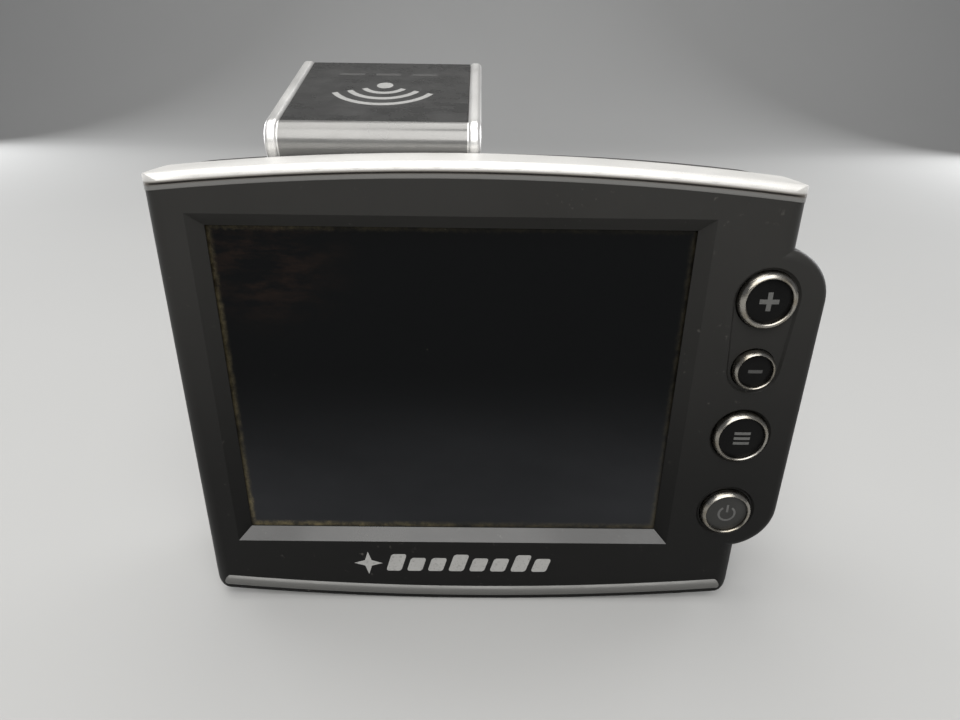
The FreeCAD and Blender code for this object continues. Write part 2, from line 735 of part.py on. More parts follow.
def usb_socket():
    x0, x1 = -BODY_W / 2 + 0.2, -37.6
    shell = box(x0, x1, *USB_Y, *USB_Z)
    skin = 0.35
    room = box(x0 - 1, x1 - 1, USB_Y[0] + skin, USB_Y[1] - skin, USB_Z[0] + skin, USB_Z[1] - skin)
    tongue = box(x0 + 1.2, x1 - 0.8, 11.8, 12.5, USB_Z[0] + 1.9, USB_Z[1] - 1.9)
    return joined([shell.cut(room), tongue])


def audio_jack():
    y, z = JACK
    left = -BODY_W / 2
    block = box(left + 2.0, JACK_END_X + 1.0, BOARD_Y[1], 15.4, z - 2.7, z + 2.7)
    nose = rod_x(y, z, 2.6, left, left + 2.0)
    return joined([block, nose]).cut(rod_x(y, z, JACK_R, left - 1, JACK_END_X))


def coax_socket():
    y, z = COAX
    left = -BODY_W / 2
    block = box(left + 2.0, -40.0, BOARD_Y[1], 13.8, z - 1.7, z + 1.7)
    nose = rod_x(y, z, 1.7, left, left + 2.0)
    pin = rod_x(y, z, 0.3, left + 1.2, -41.5)
    return joined([joined([block, nose]).cut(rod_x(y, z, 1.15, left - 1, -42.0)), pin])


def battery():
    x0, x1, y0, y1, z0, z1 = BATTERY
    pack = box(x0, x1, y0, y1, z0, z1)
    edges = [e for e in pack.Edges if abs(e.tangentAt(e.FirstParameter).x) > 0.99]
    return pack.makeFillet(1.4, edges)


def battery_pad():
    x0, x1, _, y1, z0, z1 = BATTERY
    return box(x0 + 4, x1 - 4, y1, BODY_D - WALL, z0 + 5, z1 - 5)


def battery_lead():
    x1, y0, z1 = BATTERY[1], BATTERY[2], BATTERY[5]
    y = y0 + 2.8
    leads = []
    for offset in (0.0, 1.4):
        z = z1 - 3 - offset
        leads.append(wire_tube([(x1, y, z), (x1 + 3.5, y, z), (x1 + 3.5, BOARD_Y[1], z)], 0.5, 1.5))
    return group(leads)


def speaker():
    x, z = SPEAKER
    back = BODY_D - WALL - 0.5
    basket = rod_y(x, z, SPEAKER_R, back - 1.6, back)
    magnet = rod_y(x, z, 6.2, back - 4.0, back - 1.6)
    cone = Part.makeCone(5.0, 8.4, 0.9, V(x, back - 0.9, z), Y_AXIS)
    return joined([basket, magnet]).cut(cone)


def speaker_mesh():
    x, z = SPEAKER
    return rod_y(x, z, SPEAKER_R, BODY_D - WALL - 0.5, BODY_D - WALL)


def speaker_lead():
    x, z = SPEAKER
    y = BODY_D - WALL - 0.5 - 4.0
    leads = []
    for offset in (-1.0, 1.0):
        leads.append(wire_tube([(x + offset, y, z), (x + offset, y - 4, z), (x + offset, y - 4, z - 12),
                                (x + offset, BOARD_Y[1], z - 12)], 0.45, 1.5))
    return group(leads)


# ------------------------------------------------------------------ hinge
def hinge_pins():
    """A plain pin on the left and a hollow one on the right that lets the aerial lead through."""
    left = rod_x(HINGE_Y, HINGE_Z, PIN_R, RECESS_X[0] - PIN_SOCKET, FLAP_X[0] + RAIL)
    right = rod_x(HINGE_Y, HINGE_Z, PIN_R, FLAP_X[1] - RAIL, RECESS_X[1] + PIN_SOCKET)
    return group([left, right.cut(rod_x(HINGE_Y, HINGE_Z, PIN_BORE_R, -10, 10))])


def hinge_washers():
    """Friction washers between the flap's ears and the housing."""
    slack = 0.05
    rings = []
    for x0, x1 in ((RECESS_X[0], FLAP_X[0]), (FLAP_X[1], RECESS_X[1])):
        ring = rod_x(HINGE_Y, HINGE_Z, EAR_R, x0 + slack, x1 - slack)
        rings.append(ring.cut(rod_x(HINGE_Y, HINGE_Z, PIN_R, x0, x1)))
    return group(rings)


def aerial_lead_body():
    """Coaxial lead from the hollow pin to its plug on the main board."""
    start = FLAP_X[1] - RAIL
    turn_x = RECESS_X[1] + PIN_SOCKET + 1.5
    return wire_tube([
        (start, HINGE_Y, HINGE_Z), (turn_x, HINGE_Y, HINGE_Z), (turn_x, HINGE_Y, 64.0),
        (turn_x, BOARD_Y[1] + 1.2, 64.0),
    ], LEAD_R, 1.2)


def coax_plug():
    turn_x = RECESS_X[1] + PIN_SOCKET + 1.5
    return rod_y(turn_x, 64.0, 1.3, BOARD_Y[1], BOARD_Y[1] + 1.2)


# ------------------------------------------------------------------ antenna flap, drawn flat
def opened(shape):
    """Turn a flap piece from its flat drawing position to the open pose."""
    shape = shape.copy()
    shape.rotate(V(0, 0, 0), X_AXIS, OPEN_ANGLE)
    shape.translate(V(0, HINGE_Y, HINGE_Z))
    return shape


def flap_side(x0, x1, inset):
    """Side view of the flap with a round near edge, drawn in by inset and run from x0 to x1."""
    u0, u1 = FLAP_U[0] + inset, FLAP_U[1]
    w0, w1 = FLAP_W[0], FLAP_W[1] - inset
    r, tip = FLAP_NEAR_R - inset, FLAP_TIP_R
    edge = r * (1 - math.sqrt(0.5))
    tip_edge = tip * (1 - math.sqrt(0.5))
    edges = [
        line(V(x0, u0, w0), V(x0, u0, w1 - r)),
        arc(V(x0, u0, w1 - r), V(x0, u0 + edge, w1 - edge), V(x0, u0 + r, w1)),
        line(V(x0, u0 + r, w1), V(x0, u1 - tip, w1)),
        arc(V(x0, u1 - tip, w1), V(x0, u1 - tip_edge, w1 - tip_edge), V(x0, u1, w1 - tip)),
        line(V(x0, u1, w1 - tip), V(x0, u1, w0)),
        line(V(x0, u1, w0), V(x0, u0, w0)),
    ]
    return prism(edges, V(x1 - x0, 0, 0))


def rail(x0, x1):
    """One side rail with its outer edges rounded all the way round the near end and the tip."""
    block = flap_side(x0, x1, 0)
    rim = [
        e for e in block.Edges
        if abs(e.tangentAt(e.FirstParameter).x) < 0.01 and e.CenterOfMass.z > FLAP_W[0] + 0.1
    ]
    return block.makeFillet(RAIL_ROUND, rim)


def antenna_frame():
    """U-shaped frame: two rails, the wall that joins them at the hinge, and the two ears."""
    x0, x1 = FLAP_X
    u0, w0 = FLAP_U[0], FLAP_W[0]
    wall = flap_side(x0 + RAIL / 2, x1 - RAIL / 2, RAIL_PROUD)
    wall = less(wall, [
        box(x0, x1, u0 + FLAP_WALL, FLAP_U[1] + 1, w0 - 1, FLAP_W[1] - FLAP_NEAR_R + 0.5),
        box(x0, x1, u0 + FLAP_NEAR_R, FLAP_U[1] + 1, w0 - 1, FLAP_W[1] + 1),
    ])
    parts = [wall]
    for ear0, ear1 in ((x0, x0 + RAIL), (x1 - RAIL, x1)):
        parts.append(rail(ear0, ear1))
        parts.append(rod_x(0, 0, EAR_R, ear0, ear1))
        parts.append(box(ear0, ear1, -EAR_R, EAR_R, 0, w0 + 1))
    return joined(parts).cut(rod_x(0, 0, PIN_R + PIN_CLEAR, x0 - 1, x1 + 1))


def antenna_cover():
    """Dark cover with the wall that closes the free end and the screw bosses inside."""
    x0, x1 = FLAP_X[0] + RAIL, FLAP_X[1] - RAIL
    u0, u1 = FLAP_U[0] + FLAP_NEAR_R, FLAP_U[1]
    w_low, w_top = COVER_W
    plate = box(x0, x1, u0, u1, w_low, w_top)
    end = box(x0, x1, u1 - FAR_WALL, u1, FLAP_W[0], w_top)
    shell = joined([plate, end])
    far_edge = [
        e for e in shell.Edges
        if abs(e.tangentAt(e.FirstParameter).x) > 0.99 and e.CenterOfMass.y > u1 - 0.1
        and e.CenterOfMass.z > w_top - 0.1
    ]
    shell = shell.makeFillet(1.0, far_edge)
    bosses = [rod_z(x, u, 1.5, BASE_W[1], w_low) for x, u in FLAP_SCREWS]
    holes = [rod_z(x, u, 0.7, 0, 6.0) for x, u in FLAP_SCREWS]
    return less(joined([shell] + bosses), holes)


def antenna_base():
    """Floor plate of the flap, notched where the aerial lead comes up from the hinge."""
    x0, x1 = FLAP_X[0] + RAIL, FLAP_X[1] - RAIL
    plate = box(x0, x1, FLAP_U[0] + FLAP_WALL, FLAP_U[1] - FAR_WALL, *BASE_W)
    holes = []
    for x, u in FLAP_SCREWS:
        holes += [rod_z(x, u, 0.7, 0, 3), rod_z(x, u, 1.35, 0, FLAP_W[0] + 0.9)]
    return less(plate, holes + [box(-6.6, -2.6, -1, 1.6, 0, 3)])


def antenna_board():
    x0, x1, u0, u1 = FLAP_BOARD
    return box(x0, x1, u0, u1, *FLAP_BOARD_W)


def patch_element():
    x, u = PATCH_MID
    half = PATCH / 2
    tile = box(x - half, x + half, u - half, u + half, FLAP_BOARD_W[1], FLAP_BOARD_W[1] + PATCH_H)
    return tile.makeChamfer(0.6, [e for e in tile.Edges if abs(e.tangentAt(e.FirstParameter).z) > 0.99])


def patch_electrode():
    x, u = PATCH_MID
    half = PATCH / 2 - 2.4
    low = FLAP_BOARD_W[1] + PATCH_H
    return box(x - half, x + half, u - half, u + half, low, low + 0.15)


def lna_shield():
    return box(-24.0, -9.0, 8.0, 18.0, BASE_W[1] + 0.15, FLAP_BOARD_W[0])


def antenna_screws():
    screws = []
    for x, u in FLAP_SCREWS:
        one = screw(0, 0, 0, 4.0, 1.3, 0.7)
        one.rotate(V(0, 0, 0), X_AXIS, 90)
        one.translate(V(x, u, FLAP_W[0] + 0.9))
        screws.append(one)
    return group(screws)


def aerial_lead_flap():
    """Coaxial lead from the hinge axis up through the base to the flap's board."""
    x = FLAP_X[1] - RAIL
    return wire_tube([(x, 0, 0), (x - 2.8, 0, 0), (x - 2.8, 0.7, 2.45), (x - 5.5, 6.0, 2.45)], LEAD_R, 0.9)


FLAP_NODES = {
    "antenna_frame": antenna_frame,
    "antenna_cover": antenna_cover,
    "antenna_base": antenna_base,
    "antenna_board": antenna_board,
    "patch_element": patch_element,
    "patch_electrode": patch_electrode,
    "lna_shield": lna_shield,
    "antenna_screws": antenna_screws,
    "aerial_lead_flap": aerial_lead_flap,
}

BODY_NODES = {
    "front_bezel": front_bezel,
    "top_trim": top_trim,
    "bottom_trim": bottom_trim,
    "window_gasket": window_gasket,
    "touch_panel": touch_panel,
    "lcd_panel": lcd_panel,
    "backlight": backlight,
    "lcd_frame": lcd_frame,
    "lcd_flex": lcd_flex,
    "keypad_board": keypad_board,
    "dome_switches": dome_switches,
    "keypad_screws": keypad_screws,
    "keypad_flex": keypad_flex,
    "rear_housing": rear_housing,
    "case_screws": case_screws,
    "main_board": main_board,
    "board_screws": board_screws,
    "main_chips": main_chips,
    "shield_can": shield_can,
    "receiver_chip": receiver_chip,
    "sd_socket": sd_socket,
    "sd_card": sd_card,
    "sd_contacts": sd_contacts,
    "usb_socket": usb_socket,
    "audio_jack": audio_jack,
    "coax_socket": coax_socket,
    "battery": battery,
    "battery_pad": battery_pad,
    "battery_lead": battery_lead,
    "speaker": speaker,
    "speaker_mesh": speaker_mesh,
    "speaker_lead": speaker_lead,
    "hinge_pins": hinge_pins,
    "hinge_washers": hinge_washers,
    "aerial_lead_body": aerial_lead_body,
    "coax_plug": coax_plug,
}


def main():
    shapes = {name: make() for name, make in BODY_NODES.items()}
    shapes.update({name: opened(make()) for name, make in FLAP_NODES.items()})
    for name, z, ring_r, cap_r in BUTTONS:
        shapes[name + "_cap"] = button_cap(z, ring_r, cap_r)
        shapes[name + "_ring"] = button_ring(z, ring_r, cap_r)
    os.makedirs("parts", exist_ok=True)
    for name, shape in shapes.items():
        placed = shape.copy()
        placed.translate(V(0, -REST_Y, 0))
        if not placed.isValid():
            print("not valid:", name)
        placed.exportStep("parts/%s.step" % name)
        print("%-18s %2d solids %9.1f mm3" % (name, len(placed.Solids), placed.Volume))


main()
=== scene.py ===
"""Looks for the portable navigator: materials on the CAD nodes, printed legends, floor, light and camera."""

import json
import math

import bmesh
import bpy
from mathutils import Euler, Matrix, Vector
from mathutils.bvhtree import BVHTree
from mathutils.geometry import tessellate_polygon


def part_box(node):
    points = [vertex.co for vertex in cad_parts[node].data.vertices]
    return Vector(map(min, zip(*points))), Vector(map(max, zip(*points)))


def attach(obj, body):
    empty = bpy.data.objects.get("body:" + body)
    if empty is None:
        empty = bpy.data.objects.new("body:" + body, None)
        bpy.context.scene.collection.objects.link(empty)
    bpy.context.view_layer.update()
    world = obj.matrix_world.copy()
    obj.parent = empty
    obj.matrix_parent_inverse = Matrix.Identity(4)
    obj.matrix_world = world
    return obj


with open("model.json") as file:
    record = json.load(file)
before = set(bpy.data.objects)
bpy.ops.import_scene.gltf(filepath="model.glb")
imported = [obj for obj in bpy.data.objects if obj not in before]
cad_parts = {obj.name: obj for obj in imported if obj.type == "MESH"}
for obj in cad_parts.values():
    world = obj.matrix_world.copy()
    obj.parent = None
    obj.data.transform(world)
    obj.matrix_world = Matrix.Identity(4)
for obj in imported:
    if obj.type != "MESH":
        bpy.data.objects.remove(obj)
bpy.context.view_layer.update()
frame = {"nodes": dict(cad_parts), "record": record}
MM = 0.001


# ---------------------------------------------------------------- node helpers
class Paint:
    """A Principled material, with short calls for the nodes that drive it."""

    def __init__(self, name, rough, metal=0.0, **sockets):
        self.material = bpy.data.materials.new(name)
        self.material.use_nodes = True
        self.tree = self.material.node_tree
        self.shader = self.tree.nodes["Principled BSDF"]
        self.shader.inputs["Roughness"].default_value = rough
        self.shader.inputs["Metallic"].default_value = metal
        for socket, value in sockets.items():
            self.shader.inputs[socket.replace("_", " ")].default_value = value
        self.place = self.node("ShaderNodeTexCoord").outputs["Object"]
        self._xyz = None

    def node(self, kind, **properties):
        n = self.tree.nodes.new(kind)
        for key, value in properties.items():
            setattr(n, key, value)
        return n

    def feed(self, socket, value):
        if isinstance(value, bpy.types.NodeSocket):
            self.tree.links.new(value, socket)
        else:
            socket.default_value = value

    def drive(self, socket, value):
        self.feed(self.shader.inputs[socket], value)

    def axis(self, i):
        if self._xyz is None:
            split = self.node("ShaderNodeSeparateXYZ")
            self.feed(split.inputs[0], self.place)
            self._xyz = split
        return self._xyz.outputs[i]

    def noise(self, per_metre, detail, rough=0.5, stretch=None, seed=0.0):
        n = self.node("ShaderNodeTexNoise", noise_dimensions="4D")
        n.inputs["Scale"].default_value = per_metre
        n.inputs["Detail"].default_value = detail
        n.inputs["Roughness"].default_value = rough
        n.inputs["W"].default_value = seed
        where = self.place
        if stretch:
            mapping = self.node("ShaderNodeMapping")
            self.feed(mapping.inputs["Vector"], where)
            mapping.inputs["Scale"].default_value = stretch
            where = mapping.outputs[0]
        self.feed(n.inputs["Vector"], where)
        return n.outputs["Fac"]

    def cells(self, per_metre, feature="F1"):
        n = self.node("ShaderNodeTexVoronoi", feature=feature)
        n.inputs["Scale"].default_value = per_metre
        self.feed(n.inputs["Vector"], self.place)
        return n.outputs["Distance"]

    def math(self, operation, a, b=0.0, clamp=False):
        n = self.node("ShaderNodeMath", operation=operation, use_clamp=clamp)
        self.feed(n.inputs[0], a)
        self.feed(n.inputs[1], b)
        return n.outputs[0]

    def span(self, value, low, high, out_low=0.0, out_high=1.0):
        """Maps low..high to out_low..out_high with soft ends."""
        n = self.node("ShaderNodeMapRange", interpolation_type="SMOOTHSTEP")
        self.feed(n.inputs["Value"], value)
        for socket, number in (("From Min", low), ("From Max", high),
                               ("To Min", out_low), ("To Max", out_high)):
            n.inputs[socket].default_value = number
        return n.outputs["Result"]

    def mix(self, amount, a, b):
        n = self.node("ShaderNodeMix", data_type="RGBA")
        self.feed(n.inputs[0], amount)
        for index, colour in ((6, a), (7, b)):
            self.feed(n.inputs[index], colour if isinstance(colour, bpy.types.NodeSocket) else (*colour, 1.0))
        return n.outputs[2]

    def bump(self, height, distance, strength):
        n = self.node("ShaderNodeBump")
        n.inputs["Strength"].default_value = strength
        n.inputs["Distance"].default_value = distance
        self.feed(n.inputs["Height"], height)
        self.feed(self.shader.inputs["Normal"], n.outputs[0])

    def facing(self, i):
        """How much the surface faces along one axis of the frame."""
        geometry = self.node("ShaderNodeNewGeometry")
        split = self.node("ShaderNodeSeparateXYZ")
        self.feed(split.inputs[0], geometry.outputs["Normal"])
        return split.outputs[i]


def away(paint, axis, centre):
    """Distance from a plane across one axis, in metres."""
    return paint.math("ABSOLUTE", paint.math("SUBTRACT", paint.axis(axis), centre))


# ---------------------------------------------------------------- sizes taken from the frame
def corners(node):
    low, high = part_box(node)
    return Vector(low), Vector(high)


FACE_Y = -15.0 * MM                      # plane of the bezel's face
SPLIT_Y = corners("front_bezel")[1].y    # seam between the bezel and the rear housing
TRIM_ARCH = (-2.5 * MM, 75.15 * MM, 430.0 * MM)    # crest x, crest z and radius of the trim's lower edge
STRIP_TOP = (0.70 * MM, 0.95 * MM)       # where the strip under the trim's groove gives way, over that edge
GROOVE_MID = 0.90 * MM                   # middle of the groove, over the same edge
PAINTED_SHADE_TOP = 2.1 * MM                     # how high the painted shade reaches on the trim's front
SCREEN = (-3.5 * MM, 41.5 * MM)          # centre of the window
WINDOW = (35.5 * MM, 26.55 * MM)         # half width and half height of the window's inner edge
BEVEL_X = (1.95 * MM, 2.05 * MM)         # where the bevel round the window ends, out from that edge
BEVEL_Z = (1.9 * MM, 2.0 * MM)
SHADE_Z = (14 * MM, 80 * MM)             # heights between which a painted reflection turns the black plastic paler
STAIN_AT = (-31 * MM, 64 * MM)           # centre of the brown stain on the screen
HINGE = Vector((0.0, 0.4 * MM, 73.55 * MM))    # the flap turns about a line along X through this point
FLAP_RISE = math.radians(17.2)           # how steeply the open flap rises towards the back
RAIL = 2.1 * MM                          # width of a rail
COVER_TOP = 8.0 * MM                     # the cover's height over the hinge axis, square to the flap
MARK_AT = (-18.6 * MM, 8.25 * MM)        # middle of the star under the screen
ARCS_OUT = 17.0                          # from the hinge to the signal dot along the flap, in mm
DASHES_OUT = 22.6                        # from the hinge to the dashes, in mm
FACET = 0.9                              # longer edges of a print, in mm, are split before it is laid down
SPLITS = 4                               # the most rounds of that splitting
RAY_FROM = 5                             # how far outside its surface, in mm, a print is dropped from
PRINT_THICK = 0.03                       # thickness of a print, in mm
LENS, SENSOR = 24.4, 36.0               # the camera's focal length and sensor width, in mm
CAMERA_AT = (0.1 * MM, -106.5 * MM, 88.6 * MM)
CAMERA_PAN, CAMERA_DOWN, CAMERA_ROLL = -0.43, 23.9, 0.79    # degrees
KEYS = ("plus", "minus", "menu", "power")
KEY_AT = {}                              # centre of each key, x and z
for key in KEYS:
    low, high = corners(key + "_ring")
    KEY_AT[key] = ((low.x + high.x) / 2, (low.z + high.z) / 2)


# ---------------------------------------------------------------- materials
def shell(name, grain, rough, level, relief=0.03 * MM):
    """Satin black moulded plastic with lint, rubbing and a dark seam, and a painted reflection that makes it
    paler towards the top.
    """
    p = Paint(name, rough, Specular_IOR_Level=level)
    # painted reflection: a darker colour low down and a paler one high up, mixed by height
    handling_and_painted_light = p.mix(p.noise(70, 4), (0.0050, 0.0050, 0.0048), (0.0080, 0.0079, 0.0076))
    painted_reflection_top = p.mix(p.noise(55, 4, seed=6), (0.0190, 0.0185, 0.0173), (0.0285, 0.0279, 0.0261))
    painted_reflection_mix = p.mix(p.span(p.axis(2), *SHADE_Z), handling_and_painted_light, painted_reflection_top)
    lint = p.span(p.noise(900, 2, seed=3), 0.66, 0.78)
    dust = p.math("MULTIPLY", lint, p.span(p.noise(45, 3, seed=5), 0.42, 0.7, 0.0, 0.5))
    top_dust = p.math("MULTIPLY", p.span(p.facing(2), 0.3, 1.0, 0.0, 0.16), p.noise(300, 4, seed=8))
    dusty = p.mix(p.math("ADD", dust, top_dust, clamp=True), painted_reflection_mix, (0.11, 0.104, 0.094))
    seam = p.span(away(p, 1, SPLIT_Y), 0.05 * MM, 0.22 * MM, 1.0, 0.0)
    p.drive("Base Color", p.mix(seam, dusty, (0.004, 0.004, 0.004)))
    rub = p.span(p.noise(38, 5, 0.6, seed=11), 0.35, 0.7, rough - 0.06, rough + 0.08)
    p.drive("Roughness", rub)
    fine = p.math("MULTIPLY", p.noise(grain, 2, 0.6), 0.6)
    p.bump(p.math("SUBTRACT", fine, p.math("MULTIPLY", seam, 3.0)), relief, 0.5)
    return p


def bezel_shell():
    """The same plastic, smoother and glossier on the window's sloping lower edge."""
    level = 0.13
    p = shell("bezel_plastic", 5200, 0.44, level)
    across = p.span(away(p, 0, SCREEN[0]), WINDOW[0] + BEVEL_X[0], WINDOW[0] + BEVEL_X[1], 1.0, 0.0)
    up = p.span(away(p, 2, SCREEN[1]), WINDOW[1] + BEVEL_Z[0], WINDOW[1] + BEVEL_Z[1], 1.0, 0.0)
    polished = p.math("MULTIPLY", p.math("MULTIPLY", across, up), p.span(p.facing(2), 0.15, 0.45))
    rub = p.shader.inputs["Roughness"].links[0].from_socket
    p.drive("Roughness", p.math("SUBTRACT", rub, p.math("MULTIPLY", polished, 0.12)))
    p.drive("Specular IOR Level", p.span(polished, 0.0, 1.0, level, 0.58))
    return p.material


def edge_distance(p):
    """Distance inside the window's edge, in metres."""
    across = p.math("SUBTRACT", WINDOW[0], away(p, 0, SCREEN[0]))
    up = p.math("SUBTRACT", WINDOW[1], away(p, 2, SCREEN[1]))
    return p.math("MINIMUM", across, up)


def screen():
    """Dark touch film: a painted reflection that pales it low down, a brown stain, and a line of dirt along
    the window's edge.
    """
    p = Paint("screen_film", 0.12, Specular_IOR_Level=0.07)
    ragged = p.math("MULTIPLY", p.noise(1500, 5, 0.8), 1.5 * MM)
    inside = p.math("SUBTRACT", edge_distance(p), ragged)
    line = p.span(inside, -0.85 * MM, 0.25 * MM, 1.0, 0.0)
    corner_x = p.span(p.axis(0), -37 * MM, 8 * MM, 1.0, 0.3)
    corner_z = p.span(p.axis(2), 16 * MM, 34 * MM, 1.0, 0.42)
    patches = p.span(p.noise(420, 5, 0.8, seed=2), 0.36, 0.64, 0.15, 1.0)
    gathered = p.math("MULTIPLY", p.math("MULTIPLY", corner_x, corner_z), patches)
    dirt = p.math("MULTIPLY", line, gathered, clamp=True)
    crust = p.mix(p.noise(2600, 4, 0.7, seed=4), (0.050, 0.041, 0.024), (0.215, 0.180, 0.098))
    film = p.mix(p.noise(22, 3), (0.0016, 0.0018, 0.0020), (0.0032, 0.0035, 0.0039))
    # painted reflection: the film is paler low down, in streaky patches
    low = p.span(p.axis(2), 14 * MM, 46 * MM, 1.0, 0.0)
    reflection_streaks = p.span(p.noise(26, 4, 0.6, stretch=(0.7, 1.0, 1.6), seed=17), 0.25, 0.75, 0.55, 1.0)
    film_with_painted_reflection = p.mix(p.math("MULTIPLY", low, reflection_streaks), film, (0.0215, 0.0224, 0.0244))
    specks = p.span(p.cells(420), 0.03, 0.07, 1.0, 0.0)
    sparse = p.math("MULTIPLY", specks, p.span(p.noise(75, 2, seed=9), 0.58, 0.68, 0.0, 0.3))
    clean = p.mix(sparse, film_with_painted_reflection, (0.12, 0.11, 0.09))
    dx = p.math("SUBTRACT", p.axis(0), STAIN_AT[0])
    dz = p.math("SUBTRACT", p.axis(2), STAIN_AT[1])
    spot = p.math("SQRT", p.math("ADD", p.math("MULTIPLY", dx, dx), p.math("MULTIPLY", dz, dz)))
    streaks = p.span(p.noise(170, 5, 0.7, stretch=(0.6, 1.0, 2.0), seed=6), 0.42, 0.66)
    stain = p.math("MULTIPLY", p.span(spot, 1 * MM, 15 * MM, 0.38, 0.0), streaks)
    stained = p.mix(stain, clean, (0.030, 0.0165, 0.0105))
    p.drive("Base Color", p.mix(dirt, stained, crust))
    smear = p.span(p.noise(28, 5, 0.65, stretch=(1.0, 1.0, 2.2), seed=12), 0.35, 0.75, 0.07, 0.24)
    p.drive("Roughness", p.math("ADD", smear, p.math("MULTIPLY", dirt, 0.6), clamp=True))
    crumbs = p.math("MULTIPLY", dirt, p.noise(2500, 3))
    p.bump(p.math("ADD", crumbs, p.math("MULTIPLY", p.noise(60, 2), 0.08)), 0.05 * MM, 0.5)
    return p.material


def lacquer(name, base, rough, metal, wear):
    """Lacquer with fine flake, patches of grime and uneven gloss."""
    p = Paint(name, rough, metal)
    p.drive("Base Color", lacquer_colour(p, base, wear))
    p.drive("Roughness", p.span(p.noise(120, 4, seed=14), 0.3, 0.7, rough - 0.05, rough + 0.08))
    p.bump(p.noise(3500, 2), 0.008 * MM, 0.4)
    return p.material


def lacquer_colour(p, base, wear):
    """The lacquer's colour, with flake and patches of grime."""
    flake = p.mix(p.span(p.noise(9000, 1), 0.35, 0.65), tuple(c * 0.9 for c in base), base)
    grime = p.span(p.noise(60, 5, 0.6, seed=7), 0.5, 0.8, 0.0, wear)
    return p.mix(grime, flake, tuple(c * 0.7 for c in base))


def top_lacquer():
    """The top trim: bright on top, painted shade darkening its front down to its groove, and a darker strip
    below that.
    """
    base = (0.72, 0.71, 0.685)
    p = Paint("trim_lacquer", 0.36, 0.2)
    across = p.math("SUBTRACT", p.axis(0), TRIM_ARCH[0])
    up = p.math("SUBTRACT", p.axis(2), TRIM_ARCH[1] - TRIM_ARCH[2])
    out = p.math("SQRT", p.math("ADD", p.math("MULTIPLY", across, across), p.math("MULTIPLY", up, up)))
    over = p.math("SUBTRACT", out, TRIM_ARCH[2])
    strip_only = p.span(over, *STRIP_TOP, 1.0, 0.0)
    off_groove = p.math("ABSOLUTE", p.math("SUBTRACT", over, GROOVE_MID))
    groove = p.span(off_groove, 0.12 * MM, 0.42 * MM, 1.0, 0.0)
    # painted shade: the trim's front darkens towards the groove
    film = p.span(over, GROOVE_MID, PAINTED_SHADE_TOP, 0.6, 0.0)
    handling_and_painted_light = p.mix(film, lacquer_colour(p, base, 0.2), (0.30, 0.29, 0.27))
    dulled = p.mix(strip_only, handling_and_painted_light, (0.15, 0.148, 0.142))
    p.drive("Base Color", p.mix(p.math("MULTIPLY", groove, 0.75), dulled, (0.075, 0.060, 0.045)))
    p.drive("Roughness", p.span(p.noise(120, 4, seed=14), 0.3, 0.7, 0.31, 0.44))
    p.bump(p.noise(3500, 2), 0.008 * MM, 0.4)
    return p.material


def chrome(name):
    """Plated ring, brassy where the plating is thin, with fine scratches."""
    p = Paint(name, 0.2, 1.0)
    thin = p.span(p.noise(420, 4, 0.6), 0.42, 0.7)
    p.drive("Base Color", p.mix(thin, (0.33, 0.315, 0.285), (0.25, 0.225, 0.18)))
    p.drive("Roughness", p.span(p.noise(700, 4, seed=5), 0.35, 0.7, 0.22, 0.34))
    p.bump(p.noise(6000, 2, stretch=(1, 1, 0.2)), 0.006 * MM, 0.4)
    return p.material


def gloss(name, base, rough, level=0.5):
    """Glossy moulded plastic with finger smears and hairline scratches."""
    p = Paint(name, rough, Specular_IOR_Level=level)
    p.drive("Base Color", p.mix(p.noise(260, 4), base, tuple(min(c * 1.6, 1) for c in base)))
    touched = p.noise(90, 5, 0.65, stretch=(1.0, 2.0, 1.0), seed=4)
    p.drive("Roughness", p.span(touched, 0.35, 0.72, rough * 0.7, rough * 1.7))
    hair = p.span(p.noise(900, 2, stretch=(0.12, 2.5, 2.5), seed=21), 0.62, 0.7)
    fine = p.math("MULTIPLY", p.noise(2200, 2), 0.25)
    p.bump(p.math("ADD", p.math("MULTIPLY", hair, 0.15), fine), 0.01 * MM, 0.4)
    return p.material


def metal(name, base, rough, streak=(1.0, 1.0, 1.0)):
    """Rolled or turned metal with streaks and a faint oxide bloom."""
    p = Paint(name, rough, 1.0)
    bloom = p.span(p.noise(180, 4, 0.6), 0.4, 0.75)
    p.drive("Base Color", p.mix(bloom, base, tuple(c * 0.72 for c in base)))
    grain = p.noise(2600, 3, stretch=streak)
    p.drive("Roughness", p.span(grain, 0.3, 0.7, rough - 0.08, rough + 0.1))
    p.bump(grain, 0.012 * MM, 0.5)
    return p.material


def solder_mask():
    """Green board with faint copper tracks under the lacquer."""
    p = Paint("board_lacquer", 0.35, Coat_Weight=0.3)
    track = p.span(p.cells(420, "DISTANCE_TO_EDGE"), 0.03, 0.075, 1.0, 0.0)
    base = p.mix(p.noise(120, 3), (0.006, 0.055, 0.022), (0.012, 0.085, 0.035))
    p.drive("Base Color", p.mix(track, base, (0.03, 0.17, 0.07)))
    p.bump(track, 0.02 * MM, 0.6)
    return p.material


def resin(name, base, rough, grain=4000):
    """Dull moulded resin, rubber or foam with a fine grain."""
    p = Paint(name, rough)
    p.drive("Base Color", p.mix(p.noise(400, 3), base, tuple(min(c * 1.5, 1) for c in base)))
    p.drive("Roughness", p.span(p.noise(300, 3, seed=2), 0.3, 0.7, rough - 0.08, min(rough + 0.1, 1.0)))
    p.bump(p.noise(grain, 3), 0.03 * MM, 0.6)
    return p.material


